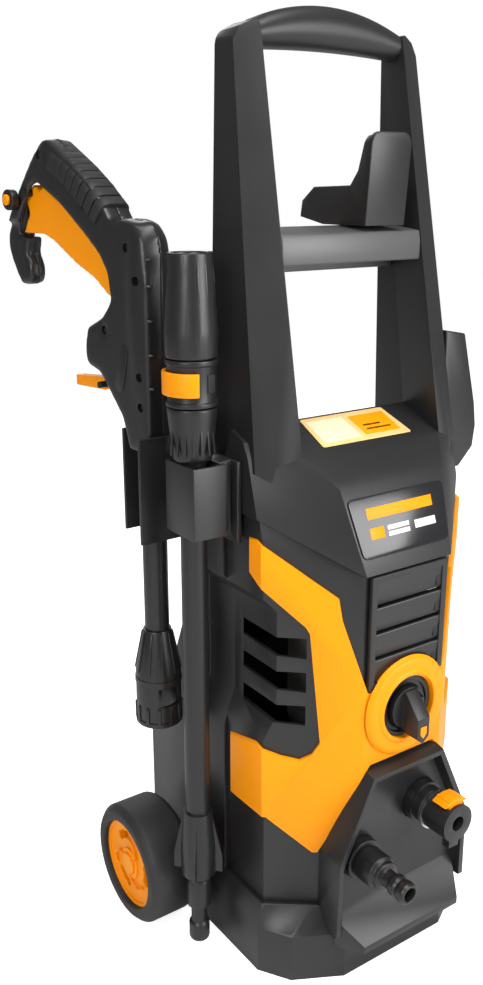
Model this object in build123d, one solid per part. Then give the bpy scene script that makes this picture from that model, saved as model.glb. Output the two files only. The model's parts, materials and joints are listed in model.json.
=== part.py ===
from build123d import *
import os
from math import cos, hypot, radians, sin

# Upright pressure washer, millimetres. +Z is up, the front faces -Y, x = 0 is the body's plane of
# symmetry, and the origin is the middle of the flat underside of the base.

# ---- driving dimensions -------------------------------------------------------------------------
wall = 3.0                 # moulded wall of the casings
gap = 0.4                  # clearance between pieces that move past each other
front_y = -84.0            # front face of the body
rear_y = 128.0             # rear face of the body
split_y = 14.0             # parting plane between front cover and rear housing
cover_z = 58.0             # underside of the casings, on top of the base ledge
side_x = 98.0              # half width of the body at its sides
ledge_z = 40.0             # top of the base's upright wall
hood_z = 332.0             # lower edge of the hood at the front centre
hood_side_z = 371.0        # lower edge of the hood at the sides
deck_y, deck_z = -38.0, 413.4   # front edge of the top deck
deck_slope = 0.41          # rise of the deck per millimetre rearward

wheel_r = 50.0
wheel_y, wheel_z = 75.0, 50.0
wheel_in_x, wheel_out_x = 116.0, 158.0
axle_r = 6.0

grip_z = 696.0             # height of the grip's axis at its ends

dial_z = 221.0
inlet_x, inlet_z = -38.0, 103.0
outlet_x, outlet_z = 24.0, 130.0

lance_x, lance_y = -126.0, 10.0
gun_x, gun_y = -126.0, 66.0
gun_turn = 8.0             # degrees that the gun's grip points away from the body
gun_half = 13.0            # half thickness of the gun

os.makedirs("parts", exist_ok=True)


def save(name, shape):
    shape.label = name
    export_step(shape, f"parts/{name}.step")


# ---- helpers ------------------------------------------------------------------------------------
def mirrored_outline(right):
    """Closed outline from the points of its right half, front to rear."""
    return right + [(-x, y) for x, y in reversed(right)]


def inset(points, amount):
    """Moves every edge of a convex outline inwards by amount."""
    area = sum(a[0] * b[1] - b[0] * a[1] for a, b in zip(points, points[1:] + points[:1]))
    turn = 1 if area > 0 else -1
    lines = []
    for a, b in zip(points, points[1:] + points[:1]):
        length = hypot(b[0] - a[0], b[1] - a[1])
        nx, ny = -turn * (b[1] - a[1]) / length, turn * (b[0] - a[0]) / length
        lines.append((nx, ny, nx * a[0] + ny * a[1] + amount))
    moved = []
    for (n1x, n1y, d1), (n2x, n2y, d2) in zip(lines[-1:] + lines[:-1], lines):
        det = n1x * n2y - n1y * n2x
        moved.append(((d1 * n2y - d2 * n1y) / det, (n1x * d2 - n2x * d1) / det))
    return moved


def face_at(points, z):
    return make_face(Polyline(*[(x, y, z) for x, y in points], close=True))


def between(low, low_z, high, high_z):
    return loft([face_at(low, low_z), face_at(high, high_z)], ruled=True)


def slab(points, plane, low, high):
    """A polygon drawn on plane and extruded from low to high along the plane's normal."""
    outline = plane.offset(low) * make_face(Polyline(*points, close=True))
    return extrude(outline, high - low, dir=plane.z_dir)


def cut_off(solid, points, keep, shift=0.0):
    """Cuts solid by the plane through three points, moved shift towards the point that is kept."""
    a, b, c = [Vector(*p) for p in points]
    normal = (b - a).cross(c - a).normalized()
    if normal.dot(Vector(*keep) - a) > 0:
        normal = normal * -1
    plane = Plane(origin=a - normal * shift, z_dir=normal)
    return split(solid, bisect_by=plane, keep=Keep.BOTTOM)


def left_and_right(points):
    return [points, [(-x, y, z) for x, y, z in points]]


def tube(outer, inner, length, plane):
    ring = plane * Circle(outer)
    if inner:
        ring = ring - plane * Circle(inner)
    return extrude(ring, length, dir=plane.z_dir)


def rod(radius, length, plane):
    return tube(radius, 0, length, plane)


def turned(profile, x, y):
    """Solid of revolution about the vertical through x, y from (radius, height) points."""
    outline = make_face(Polyline(*[(r, 0, z) for r, z in profile], close=True))
    return Pos(x, y, 0) * revolve(outline, Axis.Z)


def facing_front(x, y, z):
    return Plane(origin=(x, y, z), x_dir=(1, 0, 0), z_dir=(0, -1, 0))


def facing_side(x, y, z, side=1):
    return Plane(origin=(x, y, z), x_dir=(0, side, 0), z_dir=(side, 0, 0))


def facing_up(x, y, z):
    return Plane(origin=(x, y, z), x_dir=(1, 0, 0), z_dir=(0, 0, 1))


def box(x0, x1, y0, y1, z0, z1):
    return Pos((x0 + x1) / 2, (y0 + y1) / 2, (z0 + z1) / 2) * Box(x1 - x0, y1 - y0, z1 - z0)


# ---- body envelope ------------------------------------------------------------------------------
low_half = [(37.0, front_y), (side_x, -37.0), (side_x, rear_y)]
high_half = [(44.0, front_y + 4), (side_x + 1, -33.0), (side_x + 1, rear_y)]
top_of_blank = 460.0


def envelope(depth, floor=cover_z):
    """The whole casing as a solid, with every outside face moved in by depth."""
    low = inset(mirrored_outline(low_half), depth)
    high = inset(mirrored_outline(high_half), depth)
    blank = between(low, floor, high, top_of_blank)
    bulge = cut_off(blank, [(0, 90, 215), (50, 90, 215), (0, rear_y, 168)], (0, 0, 100), depth)
    bulge = cut_off(bulge, [(0, 0, 215), (50, 0, 215), (0, 50, 215)], (0, 0, 100), depth)
    solid = blank
    middle = (0, 0, 250)
    deck = [(-50, deck_y, deck_z), (50, deck_y, deck_z), (0, 0, deck_z - deck_y * deck_slope)]
    label = [(49.7, -59.4, 392), (-49.7, -59.4, 392), (0, -81.5, 332)]
    bevel = [(66.4, deck_y, deck_z), (-66.4, deck_y, deck_z), (0, -59.4, 392)]
    rear_slope = [(0, 2, 430), (50, 2, 430), (0, 90, 215)]
    for points in (deck, label, bevel, rear_slope):
        solid = cut_off(solid, points, middle, depth)
    for points in left_and_right([(66.4, deck_y, deck_z), (49.7, -59.4, 392), (side_x, -27, 397)]):
        solid = cut_off(solid, points, middle, depth)
    for points in left_and_right([(49.7, -59.4, 392), (41.4, -81.5, 332), (side_x, -30, 371)]):
        solid = cut_off(solid, points, middle, depth)
    return solid + bulge


def above_hood_line(drop=0.0):
    """The space above the hood's lower edge, which rises from the front centre to the sides."""
    space = box(-150, 150, -150, 150, 300, 500)
    up = (0, 0, 5000)
    level = [(0, -81, hood_z - drop), (40, -81, hood_z - drop), (0, 60, hood_z - 30 - drop)]
    space = cut_off(space, level, up)
    rising = [(41.4, -81, hood_z - drop), (side_x, -33, hood_side_z - drop),
              (side_x, 60, hood_side_z - drop)]
    for points in left_and_right(rising):
        space = cut_off(space, points, (0, -200, 5000))
    return space


reveal = 3.0               # how far the lower casing stands back behind hood and shield
inner = reveal + wall
full = envelope(0)
lower_skin = envelope(reveal)
cavity = envelope(inner, cover_z - 2)
hood_space = above_hood_line()
front_half = box(-150, 150, -150, split_y, 0, 500)
rear_half = box(-150, 150, split_y, 200, 0, 500)

# ---- oblique front-side faces, for everything drawn on them ------------------------------------
corner_x, corner_y = low_half[0]
oblique_length = hypot(low_half[1][0] - corner_x, low_half[1][1] - corner_y)
run_x = (low_half[1][0] - corner_x) / oblique_length
run_y = (low_half[1][1] - corner_y) / oblique_length


def through_oblique(points, side, low, high):
    """Extrudes a (u, v) outline through one oblique face: u runs outwards from the front corner,
    v is height, and low and high count outwards from the face."""
    outward = Vector(side * run_y, -run_x, 0)
    drawn = [Vector(side * (corner_x + u * run_x), corner_y + u * run_y, v) for u, v in points]
    face = make_face(Polyline(*[p + outward * low for p in drawn], close=True))
    return extrude(face, high - low, dir=outward)


def both_sides(points, low, high):
    return through_oblique(points, 1, low, high) + through_oblique(points, -1, low, high)


# ---- recess on both sides, behind the arms of the shield -----------------------------------------
recess_x, recess_low, recess_high, recess_rear_y = 88.0, 221.0, 303.0, 48.0


def side_recess(shift):
    """Space that the casings give up on both sides, shrunk towards the inside by shift."""
    floor_x = recess_x - shift
    outline = [(floor_x, recess_low - shift), (floor_x, recess_high + shift),
               (floor_x + 22, recess_high + 27.5 + shift), (floor_x + 22, recess_low - 64 - shift)]
    right = extrude(make_face(Polyline(*[(x, -70, z) for x, z in outline], close=True)),
                    70 + recess_rear_y + shift, dir=(0, 1, 0))
    return right + mirror(right, Plane.YZ)


cavity -= side_recess(wall)

# ---- front shield: two arms joined below the dial boss ------------------------------------------
arm_outline = [
    (88, 355), (82, 356), (24, 315), (21, 298), (1, 241), (-3, 241), (-3, 181), (2, 174),
    (26, 123), (35, 106), (39, 106), (75, 136), (103, 136), (103, 187), (95, 190), (82, 195),
    (64, 188), (50, 185), (41, 190), (35, 200), (38, 228), (41, 260), (44, 288), (47, 293),
    (82, 324), (88, 330),
]
boss_r, boss_depth, well_r = 37.0, 2.5, 25.0
shell = full - lower_skin
shield = shell & both_sides(arm_outline, -60, 30)
shield += shell & slab([(-39, 181), (39, 181), (39, 241), (-39, 241)],
                       facing_front(0, 0, 0), -front_y - 12, -front_y + 2)
shield += rod(boss_r, boss_depth + reveal, facing_front(0, front_y + reveal, dial_z + 2))
shield -= rod(well_r, 40, facing_front(0, front_y + 20, dial_z))
shield -= above_hood_line(reveal)

# ---- connection panel: proud frame around the recess, with the apron below ----------------------
frame_y, recess_floor_y, floor_thick = -92.0, -80.0, 3.0
panel_back_y = -52.0
frame_back = [(38, 184), (60, 110), (60, 46)]
frame_front = [(36, 175), (67, 110), (68, 48)]
recess_mouth = [(33, 171), (63, 108), (63, 53), (63, 30)]


def panel_face(right_half, y):
    """Face symmetric about x = 0, in the vertical plane at y, from its right half of (x, z) points."""
    outline = [(x, y, z) for x, z in right_half] + [(-x, y, z) for x, z in reversed(right_half)]
    return make_face(Polyline(*outline, close=True))


panel_block = loft([panel_face(frame_back, panel_back_y), panel_face(frame_front, frame_y)], ruled=True)
recess = extrude(panel_face(recess_mouth, -130), 130 + recess_floor_y, dir=(0, 1, 0))
apron_half, lip_y, lip_z = 63.0, -104.0, 34.0
apron_profile = [(-66, 46), (-66, 62), (recess_floor_y, 62), (lip_y, lip_z + 6), (lip_y, lip_z), (-84, lip_z),
                 (-80, 46)]
apron = extrude(make_face(Polyline(*[(-apron_half, y, z) for y, z in apron_profile], close=True)),
                2 * apron_half, dir=(1, 0, 0))
apron_corner = [(apron_half, recess_floor_y - 4, 60), (apron_half, recess_floor_y - 4, 30), (50, lip_y, 40)]
for points in left_and_right(apron_corner):
    apron = cut_off(apron, points, (0, -90, 45))
panel = panel_block - recess + apron
for half_width, low, high in ((56, 64, 104), (44, 104, 134), (30, 134, 164)):
    panel -= box(-half_width, half_width, recess_floor_y + floor_thick, panel_back_y + 1, low, high)
inlet_hole_r, outlet_hole_r = 17.0, 17.5
panel -= rod(inlet_hole_r, 60, facing_front(inlet_x, -40, inlet_z))
panel -= rod(outlet_hole_r, 60, facing_front(outlet_x, -40, outlet_z))
save("connection_panel", panel)
shield -= panel_block
save("front_shield", shield)

# ---- base tray -----------------------------------------------------------------------------------
base_half = [(52, -84), (89, -64), (104, -40), (104, rear_y)]
ledge_half = [(37, front_y), (67.5, -60.5), (side_x, -37), (side_x, rear_y)]
base = extrude(face_at(mirrored_outline(base_half), 0), ledge_z)
base += between(mirrored_outline(base_half), ledge_z, mirrored_outline(ledge_half), cover_z)
base -= box(-92, 92, -34, rear_y - 4, 6, cover_z + 5) + box(-62, 62, -52, -30, 6, cover_z + 5)
boss_axle_r = 7.9
for side in (1, -1):
    base += rod(boss_axle_r, 20, facing_side(side * 91, wheel_y, wheel_z, side))
base -= rod(axle_r + 0.05, 300, facing_side(-150, wheel_y, wheel_z))
base -= panel_block + apron
save("base_tray", base)

# ---- casings -------------------------------------------------------------------------------------
hood_shell = (full - cavity) & hood_space & front_half
save("hood", hood_shell)

lower_shell = (lower_skin - side_recess(0) - cavity) - hood_space
front_cover = lower_shell & front_half
front_cover -= panel_block + rod(well_r + 0.5, 40, facing_front(0, front_y + 20, dial_z))
grille_window = box(-34, 34, front_y - 5, -60, 246, 328)
front_cover -= grille_window
vent_rows = 3
vent_pitch, vent_first = 27.0, 283.0
for row in range(vent_rows):
    top = vent_first - row * vent_pitch
    vent = [(46, top), (46, top - 16), (93, top - 12), (93, top + 1)]
    front_cover -= both_sides(vent, -42, 30)
save("front_cover", front_cover)

rear_housing = (full - side_recess(0) - cavity) & rear_half
gland_z = 110.0
rear_housing -= rod(6.0, 20, Plane(origin=(60, rear_y - 10, gland_z), x_dir=(1, 0, 0), z_dir=(0, 1, 0)))
save("rear_housing", rear_housing)

cord_gland = rod(5.9, 14, Plane(origin=(60, rear_y - 6, gland_z), x_dir=(1, 0, 0), z_dir=(0, 1, 0)))
cord_gland += rod(9, 5, Plane(origin=(60, rear_y, gland_z), x_dir=(1, 0, 0), z_dir=(0, 1, 0)))
cord_gland -= rod(3.2, 40, Plane(origin=(60, rear_y - 20, gland_z), x_dir=(1, 0, 0), z_dir=(0, 1, 0)))
save("cord_gland", cord_gland)

# ---- louvre panel with sloping slats ------------------------------------------------------------
slat_count, slat_pitch, slat_low_z = 4, 20.4, 247.4
grille_front_y, grille_back_y = front_y + 1.0, front_y + 4.4
grille = box(-37, 37, grille_front_y, grille_back_y, 243, 331)
grille -= box(-32, 32, grille_front_y - 5, grille_back_y + 5, 248, 326)
slat_profile = [(2.2, 0), (0.5, 18.2), (6, 18.2), (6, 16.2), (3, 16.2), (5, 0)]
for k in range(slat_count):
    slat_z = slat_low_z + k * slat_pitch
    profile = [(-33, grille_front_y + y, slat_z + z) for y, z in slat_profile]
    grille += extrude(make_face(Polyline(*profile, close=True)), 66, dir=(1, 0, 0))
grille -= rod(boss_r + 0.3, 40, facing_front(0, front_y + 20, dial_z + 2))
save("louvre_grille", grille)

# ---- label plate and deck sticker ---------------------------------------------------------------
plate_thick = 1.2
label_plane = Plane(origin=(0, -59.4, 392), x_dir=(1, 0, 0), z_dir=(0, -60, 22.1))
plate_outline = [(-46.5, -8), (46.5, -8), (41.5, -52), (-41.5, -52)]
save("label_plate", slab(plate_outline, label_plane, 0, plate_thick))

deck_plane = Plane(origin=(0, deck_y, deck_z), x_dir=(1, 0, 0), z_dir=(0, -deck_slope, 1))
sticker_outline = [(-43, 6), (43, 6), (40, 41), (-40, 41)]
save("deck_sticker", slab(sticker_outline, deck_plane, 0, 0.6))

# ---- handle ---------------------------------------------------------------------------------------
post_top_z, post_base_z = 702.0, 350.0


def post_section(z):
    """Four corners of a post: inner front, front crease, outer rear, inner rear."""
    t = (z - deck_z) / (670 - deck_z)
    x = 66.4 - 2.4 * t
    y = deck_y + 50.5 * t
    depth = 72 - 45 * t
    crease_x, crease_y = x + 30.4 - 11 * t, y + 15 - 7.6 * t
    outer_x = crease_x - 1.5 + 4 * t
    return [(x, y), (crease_x, crease_y), (outer_x, y + depth), (x, y + depth)]


grip_crown_z, crown_r, under_z, under_r = 712.5, 170.0, 683.0, 930.0
crown = rod(crown_r, 160, facing_front(0, 90, grip_crown_z - crown_r))
post = between(post_section(post_base_z), post_base_z, post_section(post_top_z), post_top_z) - full
post = post & crown
save("handle_post_right", post)
post_left = mirror(post, Plane.YZ)
save("handle_post_left", post_left)

grip_section = post_section(grip_z)
grip = box(-70, 70, grip_section[0][1] + 0.5, grip_section[2][1] - 0.5, 670, 720) & crown
grip -= rod(under_r, 80, facing_front(0, 60, under_z - under_r))
grip -= post + post_left
save("handle_grip", grip)

cross_top, cross_low, cross_back_low = 563.0, 541.0, 534.0


def post_inner_x(z):
    return post_section(z)[0][0]


cross = box(-70, 70, -10, 24, cross_back_low, cross_top + 4)
cross -= box(-80, 80, -7, 21, 500, cross_top - 4)
cross -= box(-80, 80, -20, -6, 500, cross_low)
for points in left_and_right([(post_inner_x(500), 0, 500), (post_inner_x(600), 0, 600),
                              (post_inner_x(500), 50, 500)]):
    cross = cut_off(cross, points, (0, 0, 550))
cross_front = [(0, -12.5, 541), (10, -12.5, 541), (0, -8.5, 562)]
cross_lid = [(0, -9, 562), (10, -9, 562), (0, 24, 566)]
for tilted in (cross_front, cross_lid):
    cross = cut_off(cross, tilted, (0, 20, 545))
save("handle_crossbar", cross)

hook_outline = [(-9, 566), (-14, 630), (-7, 630), (1, 604), (9, 594), (50, 593), (64, 583), (66, 571),
                (39, 566)]
hook_space = [(-4.5, 569.5), (-9.5, 640), (80, 640), (62.5, 583), (62.8, 574), (39, 569.5)]
hook_low_x, hook_high_x, hook_wall = 10.0, 48.0, 3.0


def across(outline, low_x, high_x):
    """A (y, z) outline extruded from low_x to high_x."""
    return extrude(make_face(Polyline(*[(low_x, y, z) for y, z in outline], close=True)),
                   high_x - low_x, dir=(1, 0, 0))


hook = across(hook_outline, hook_low_x, hook_high_x)
hook -= across(hook_space, hook_low_x + hook_wall, hook_high_x - hook_wall)
hook -= cross
save("cord_hook", hook)

# ---- holder for gun and lance on the left side --------------------------------------------------
plate_x = -side_x - 1.4
clip_wall = 2.6
cup_low, cup_high, cup_half = 358.0, 410.0, 13.6
clip_low, clip_high, clip_front, clip_rear = 340.0, 420.0, 16.5, 20.5
holder = box(plate_x - 4, plate_x, -12, 84, 350, 410)
cup_front_y, cup_rear_y = -12.0, lance_y + 15
cup = box(lance_x - cup_half, plate_x - 1, cup_front_y, cup_rear_y, cup_low, cup_high)
cup -= box(lance_x - cup_half + clip_wall, lance_x + cup_half - clip_wall,
           cup_front_y + clip_wall, cup_rear_y - clip_wall, cup_low - 5, cup_high + 5)
cup -= box(lance_x + cup_half, plate_x - 4, cup_front_y - 5, cup_front_y + 9, cup_low - 5, cup_high + 5)
holder += cup
for wall_y, reach_x in ((gun_y - clip_front - clip_wall, -148), (gun_y + clip_rear, -139)):
    holder += box(reach_x, plate_x - 1, wall_y, wall_y + clip_wall, clip_low, clip_high)
holder -= full
save("tool_holder", holder)

# ---- hose pocket on the right side ----------------------------------------------------------------
pocket_outline = [(98.6, 485), (120, 481), (136, 423), (139, 404), (137, 386), (122, 371), (99.6, 371)]
pocket_front_y, pocket_back_y = -10.0, 40.0
pocket = Pos(0, pocket_front_y, 0) * extrude(
    make_face(Polyline(*[(x, 0, z) for x, z in pocket_outline], close=True)),
    pocket_back_y - pocket_front_y, dir=(0, 1, 0))
pocket -= box(103, 150, pocket_front_y + 3, pocket_back_y - 3, 300, 500) & \
    cut_off(box(90, 150, -50, 80, 300, 500), [(117, 0, 481), (133, 0, 423), (117, 50, 481)], (100, 0, 400))
pocket = pocket - post - full
pocket = max(pocket.solids(), key=lambda s: s.volume)
save("side_hook", pocket)

# ---- running gear ---------------------------------------------------------------------------------
axle_end = wheel_out_x - 9
save("axle", rod(axle_r, 2 * axle_end, facing_side(-axle_end, wheel_y, wheel_z)))
hub_r, slot_count, slot_ring_r, slot_r = 37.0, 3, 24.0, 3.8
for name, side in (("left", -1), ("right", 1)):
    at = facing_side(side * wheel_in_x, wheel_y, wheel_z, side)
    width = wheel_out_x - wheel_in_x
    tyre = at * Circle(wheel_r)
    tyre = extrude(tyre, width, dir=at.z_dir)
    tyre = chamfer(tyre.edges(), 5) - tube(hub_r, 0, 100, facing_side(side * 80, wheel_y, wheel_z, side))
    save("tyre_" + name, tyre)
    hub = rod(hub_r, width - 8, at.offset(4))
    hub -= rod(hub_r - 3, 3, at.offset(width - 6)) + rod(hub_r - 3, width - 20, at.offset(4))
    for k in range(slot_count):
        for step in (-14, 0, 14):
            turn = radians(360 / slot_count * k + 60 + step)
            hub -= rod(slot_r, 80, facing_side(side * 90, wheel_y + slot_ring_r * cos(turn),
                                               wheel_z + slot_ring_r * sin(turn), side))
    hub += rod(13, width - 4, at)
    hub -= rod(9, 10, at.offset(width - 9))
    hub -= rod(axle_r + 0.05, 60, at.offset(-5))
    save("hub_" + name, hub)
    cap = rod(9, 7, at.offset(width - 9)) - rod(7, 3, at.offset(width - 9))
    save("hub_cap_" + name, cap)

# ---- selector dial ----------------------------------------------------------------------------------
dial_y = front_y + 1.5
knob_base_y = dial_y + 1.0
dial = rod(well_r - 0.3, 6, facing_front(0, dial_y + 6, dial_z))
dial -= rod(17, 6, facing_front(0, knob_base_y + 0.3, dial_z))
dial -= rod(5.05, 20, facing_front(0, dial_y + 10, dial_z))
save("dial_plate", dial)

knob = rod(16.2, 6, facing_front(0, knob_base_y, dial_z))
knob_bar = slab([(-6, 15), (6, 15), (6, -18), (0, -23), (-6, -18)],
                facing_front(0, 0, dial_z), gap - dial_y, 22 - knob_base_y)
knob_bar = cut_off(knob_bar, [(-8, knob_base_y - 8, dial_z + 15), (8, knob_base_y - 8, dial_z + 15),
                              (0, knob_base_y - 22, dial_z - 2)], (0, knob_base_y, dial_z - 10))
knob += knob_bar & rod(24, 30, facing_front(0, knob_base_y, dial_z))
spindle_back_y = -68.0
knob += rod(5, spindle_back_y - knob_base_y, facing_front(0, spindle_back_y, dial_z))
pointer_outline = [(-3, -9), (3, -9), (3, -15), (0, -18.5), (-3, -15)]
pointer_floor = 20.5 - knob_base_y
knob -= slab(pointer_outline, facing_front(0, 0, dial_z), pointer_floor, pointer_floor + 10)
save("selector_knob", knob)
save("knob_pointer", slab(pointer_outline, facing_front(0, 0, dial_z), pointer_floor, pointer_floor + 2.1))
save("main_switch", box(-22, 22, spindle_back_y + 0.5, -51, dial_z - 24, dial_z + 24))

# ---- water inlet ------------------------------------------------------------------------------------
def revolved_forward(profile, x, z):
    """Solid of revolution about a front-to-back axis, from (radius, y) points."""
    outline = make_face(Polyline(*[(r, y, 0) for r, y in profile], close=True))
    return Pos(x, 0, z) * revolve(outline, Axis.Y)


inlet_seat_y = -74.0
coupling_back_y = -50.0
inlet_bore_r = 5.5
save("inlet_socket", revolved_forward(
    [(inlet_bore_r, coupling_back_y), (11.5, coupling_back_y), (11.5, inlet_seat_y), (16.6, inlet_seat_y),
     (16.6, -88), (inlet_bore_r, -88)],
    inlet_x, inlet_z))
inlet_tip_y = -136.0
save("inlet_plug", revolved_forward(
    [(inlet_bore_r, -88), (12.5, -88), (13.5, -90), (13.5, -106), (11, -108), (11, -111), (6.8, -112),
     (6.8, -119), (8.6, -121), (8.6, -125), (7.2, -127), (8.5, -129), (8.5, -134), (7.4, inlet_tip_y),
     (inlet_bore_r, inlet_tip_y)],
    inlet_x, inlet_z))
save("inlet_filter", revolved_forward([(2, -60), (5.3, -60), (5.3, -84), (2, -84)], inlet_x, inlet_z))

# ---- high pressure outlet ---------------------------------------------------------------------------
outlet_bore_r, outlet_face_y = 6.0, -122.0
outlet = revolved_forward(
    [(outlet_bore_r, coupling_back_y), (13, coupling_back_y), (13, -74), (17, -74), (17, -88), (15, -88),
     (15, outlet_face_y),
     (outlet_bore_r, outlet_face_y)], outlet_x, outlet_z)
button_slot = box(outlet_x - 7.4, outlet_x + 7.4, -119.4, -104.6, outlet_z + 8.6, outlet_z + 40)
outlet -= button_slot
outlet += box(outlet_x - 5, outlet_x + 5, -119, -112, outlet_z - 22, outlet_z - 13)
save("outlet_coupling", outlet)
button = box(outlet_x - 7, outlet_x + 7, -119, -105, outlet_z + 11, outlet_z + 19)
button += rod(19.5, 14, facing_front(outlet_x, -105, outlet_z)) & \
    box(outlet_x - 13, outlet_x + 13, -119, -105, outlet_z + 15.5, outlet_z + 30)
button -= rod(15.3 + 2.2, 20, facing_front(outlet_x, -102, outlet_z)) - \
    box(outlet_x - 7, outlet_x + 7, -130, -90, outlet_z, outlet_z + 40)
save("release_button", button)
clip_y = -96.0
clip = tube(16.6, 15.05, 2.4, facing_front(outlet_x, clip_y, outlet_z))
clip -= box(outlet_x + 4, outlet_x + 30, -110, -80, outlet_z - 30, outlet_z + 30)
save("outlet_clip", clip)

# ---- motor and pump inside ---------------------------------------------------------------------------
motor_x, motor_y = 0.0, -8.0
motor_low, motor_high = 182.0, 318.0
shaft_r = 6.0
can_r = 42.0
stator = turned([(31, motor_low + 14), (can_r, motor_low + 14), (can_r, motor_high), (31, motor_high)],
                motor_x, motor_y)
save("motor_stator", stator)
bearing_r = shaft_r + 0.05
flange = turned([(bearing_r, motor_low), (can_r, motor_low), (can_r, motor_low + 14), (31, motor_low + 14),
                 (31, motor_low + 6), (bearing_r, motor_low + 6)], motor_x, motor_y)
save("motor_flange", flange)
save("motor_rotor", turned([(0, 158), (shaft_r, 158), (shaft_r, 196), (30, 196), (30, 310), (shaft_r, 310),
                            (shaft_r, 336), (0, 336)], motor_x, motor_y))
fan = turned([(shaft_r, 322), (12, 322), (12, 334), (shaft_r, 334)], motor_x, motor_y)
blade = box(10, 40, -1, 1, 323, 333)
for k in range(9):
    fan += Pos(motor_x, motor_y, 0) * Rot(0, 0, 40 * k) * blade
save("cooling_fan", fan)
wobble_r = 26.0
save("wobble_plate", cut_off(turned([(0, 140), (wobble_r, 140), (wobble_r, 158), (0, 158)], motor_x, motor_y),
                             [(0, -30, 141), (10, -30, 141), (0, 40, 147)], (0, 0, 200)))
pump_r = 40.0
pump = turned([(0, 60), (pump_r, 60), (pump_r, 166), (34, 166), (34, 134), (0, 134)], motor_x, motor_y)
pump += box(inlet_x - 13, outlet_x + 13, coupling_back_y + 1, 0, 80, 144)
piston_ring, piston_r = 18.0, 7.0
pump -= turned([(34, 134), (34, 170), (0, 170), (0, 134)], motor_x, motor_y)
for k in range(3):
    turn = radians(90 + 120 * k)
    px, py = motor_x + piston_ring * cos(turn), motor_y + piston_ring * sin(turn)
    pump -= rod(piston_r + 0.05, 60, facing_up(px, py, 100))
    save(f"pump_piston_{k + 1}", rod(piston_r, 34, facing_up(px, py, 101)))
pump -= rod(inlet_bore_r - 0.5, 30, facing_front(inlet_x, -30, inlet_z))
pump -= rod(outlet_bore_r - 0.5, 30, facing_front(outlet_x, -30, outlet_z))
pump += turned([(34, 166), (pump_r, 166), (pump_r, motor_low), (34, motor_low)], motor_x, motor_y)
save("pump_body", pump)

# ---- spray gun, drawn in its own plane: u points away from the barrel, v is height ---------------
gun_s, gun_c = sin(radians(gun_turn)), cos(radians(gun_turn))
gun_plane = Plane(origin=(gun_x, gun_y, 0), x_dir=(-gun_s, gun_c, 0), z_dir=(gun_c, gun_s, 0))
barrel_low = 405.0
gun_outline = [
    (-13, barrel_low), (-14, 530), (-10, 557), (0, 569), (12, 572), (28, 570), (37, 582), (50, 594),
    (71, 608), (89, 618), (107, 628), (117, 631), (124, 617), (143, 596), (160, 576), (175, 557),
    (176, 545), (168, 529), (159, 516), (146, 517.5), (142, 523), (142, 533), (148, 541), (144, 556),
    (157, 556), (144, 576), (131, 593), (122, 596), (92, 581), (60, 559), (42, 545), (33, 532), (30, 514),
    (42, 501), (62, 492), (65, 474), (63, 463), (47, 459), (20, 428), (13, barrel_low),
]
trigger_outline = [(127, 590), (121, 592.5), (94, 579), (63, 557), (45, 543), (37, 531), (38, 515), (46, 520),
                   (56, 527), (80, 537), (95, 545), (110, 553), (124, 557.5), (152, 557.5), (142, 573),
                   (146, 582), (144, 590), (134, 594.5)]
trigger_half = 6.0
trigger_pivot = (139.0, 588.0)
trigger_room = [(132, 599), (122, 598), (94, 592), (58, 575), (36, 560), (26, 546), (24, 514), (34, 511),
                (42, 503), (90, 500), (110, 550), (158, 556), (152, 580), (149, 595)]
pin_r = 2.5


def gun_pin(radius, low, high, u, v):
    at = gun_plane * Pos(u, v, low)
    return extrude(at * Circle(radius), high - low, dir=gun_plane.z_dir)


gun_block = slab(gun_outline, gun_plane, -gun_half, gun_half)
gun_block -= slab(trigger_room, gun_plane, -trigger_half - 0.6, trigger_half + 0.6)
gun_block -= slab([(-6, barrel_low - 1), (-6, 520), (6, 520), (6, barrel_low - 1)], gun_plane, -6.2, 6.2)
catch_room = [(34, 440), (34, 458), (100, 458), (100, 440)]
gun_block -= slab(catch_room, gun_plane, -4.3, 4.3)
gun_block -= gun_pin(pin_r, -gun_half - 1, gun_half + 1, *trigger_pivot)
guard_half = 8.0           # the guard in front of the trigger is thinner than the grip
guard_room = [(120, 500), (200, 500), (200, 566), (150, 566), (120, 560)]
gun_block -= slab(guard_room, gun_plane, -gun_half - 1, -guard_half) + \
    slab(guard_room, gun_plane, guard_half, gun_half + 1)
lock_u, lock_v = 151.0, 583.0
gun_left = gun_block & slab([(-60, 300), (-60, 700), (250, 700), (250, 300)], gun_plane, -gun_half, 0)
gun_right = gun_block & slab([(-60, 300), (-60, 700), (250, 700), (250, 300)], gun_plane, 0, gun_half)

trigger = slab(trigger_outline, gun_plane, -trigger_half, trigger_half)
trigger -= gun_pin(pin_r + 0.05, -20, 20, *trigger_pivot)
save("gun_trigger", trigger)

# soft grip on the back of the handle, 1.2 mm proud of the shells
grip_pad_outline = [(34, 574), (44, 584), (58, 594), (73, 603), (90, 612), (106, 620), (110, 613),
                    (96, 603), (80, 595), (62, 584), (48, 573), (40, 566)]
pad_room = slab(grip_pad_outline, gun_plane, -gun_half + 1.6, -gun_half - 5) + \
    slab(grip_pad_outline, gun_plane, gun_half - 1.6, gun_half + 5)
pad = slab(grip_pad_outline, gun_plane, -gun_half + 1.6, -gun_half - 1.2) + \
    slab(grip_pad_outline, gun_plane, gun_half - 1.6, gun_half + 1.2)
save("grip_pads", pad)

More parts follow.
